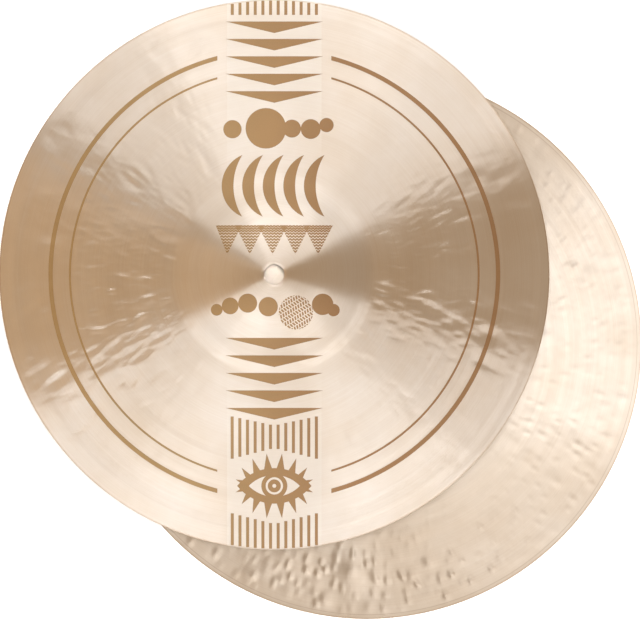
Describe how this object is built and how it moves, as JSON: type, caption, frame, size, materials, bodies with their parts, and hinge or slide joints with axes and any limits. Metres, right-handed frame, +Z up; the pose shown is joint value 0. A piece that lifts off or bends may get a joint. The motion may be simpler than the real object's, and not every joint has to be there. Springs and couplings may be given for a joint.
{
  "type": "pair of cymbals",
  "caption": "Matched pair of hammered bronze cymbals with domed bells and centre holes, one resting partly on the other; the upper one has an etched band of geometric artwork.",
  "frame": {"origin": "on the surface the pair lies on, under the middle of the box that holds both cymbals", "axes": "+Z up, away from the surface and out of the cymbals' bells; +X to the right and +Y away when the pair is seen from above with the upper cymbal at upper left; the upper cymbal's artwork reads upright along +Y"},
  "size_m": [0.4174, 0.4022, 0.0515],
  "materials": {
    "bronze": "hammered and lathed bell bronze, satin, brushed in circles",
    "pale_bronze": "hammered and lathed bell bronze, bright satin",
    "etched_bronze": "matt laser-etched brown"
  },
  "bodies": {
    "lower": {"lower_cymbal": "pale_bronze"},
    "upper": {"upper_cymbal": "bronze"}
  },
  "joints": [
    {"name": "upper_lift", "type": "slide", "parent": "lower", "child": "upper", "axis": [0, 0, 1], "range_m": [0, 0.15]}
  ]
}
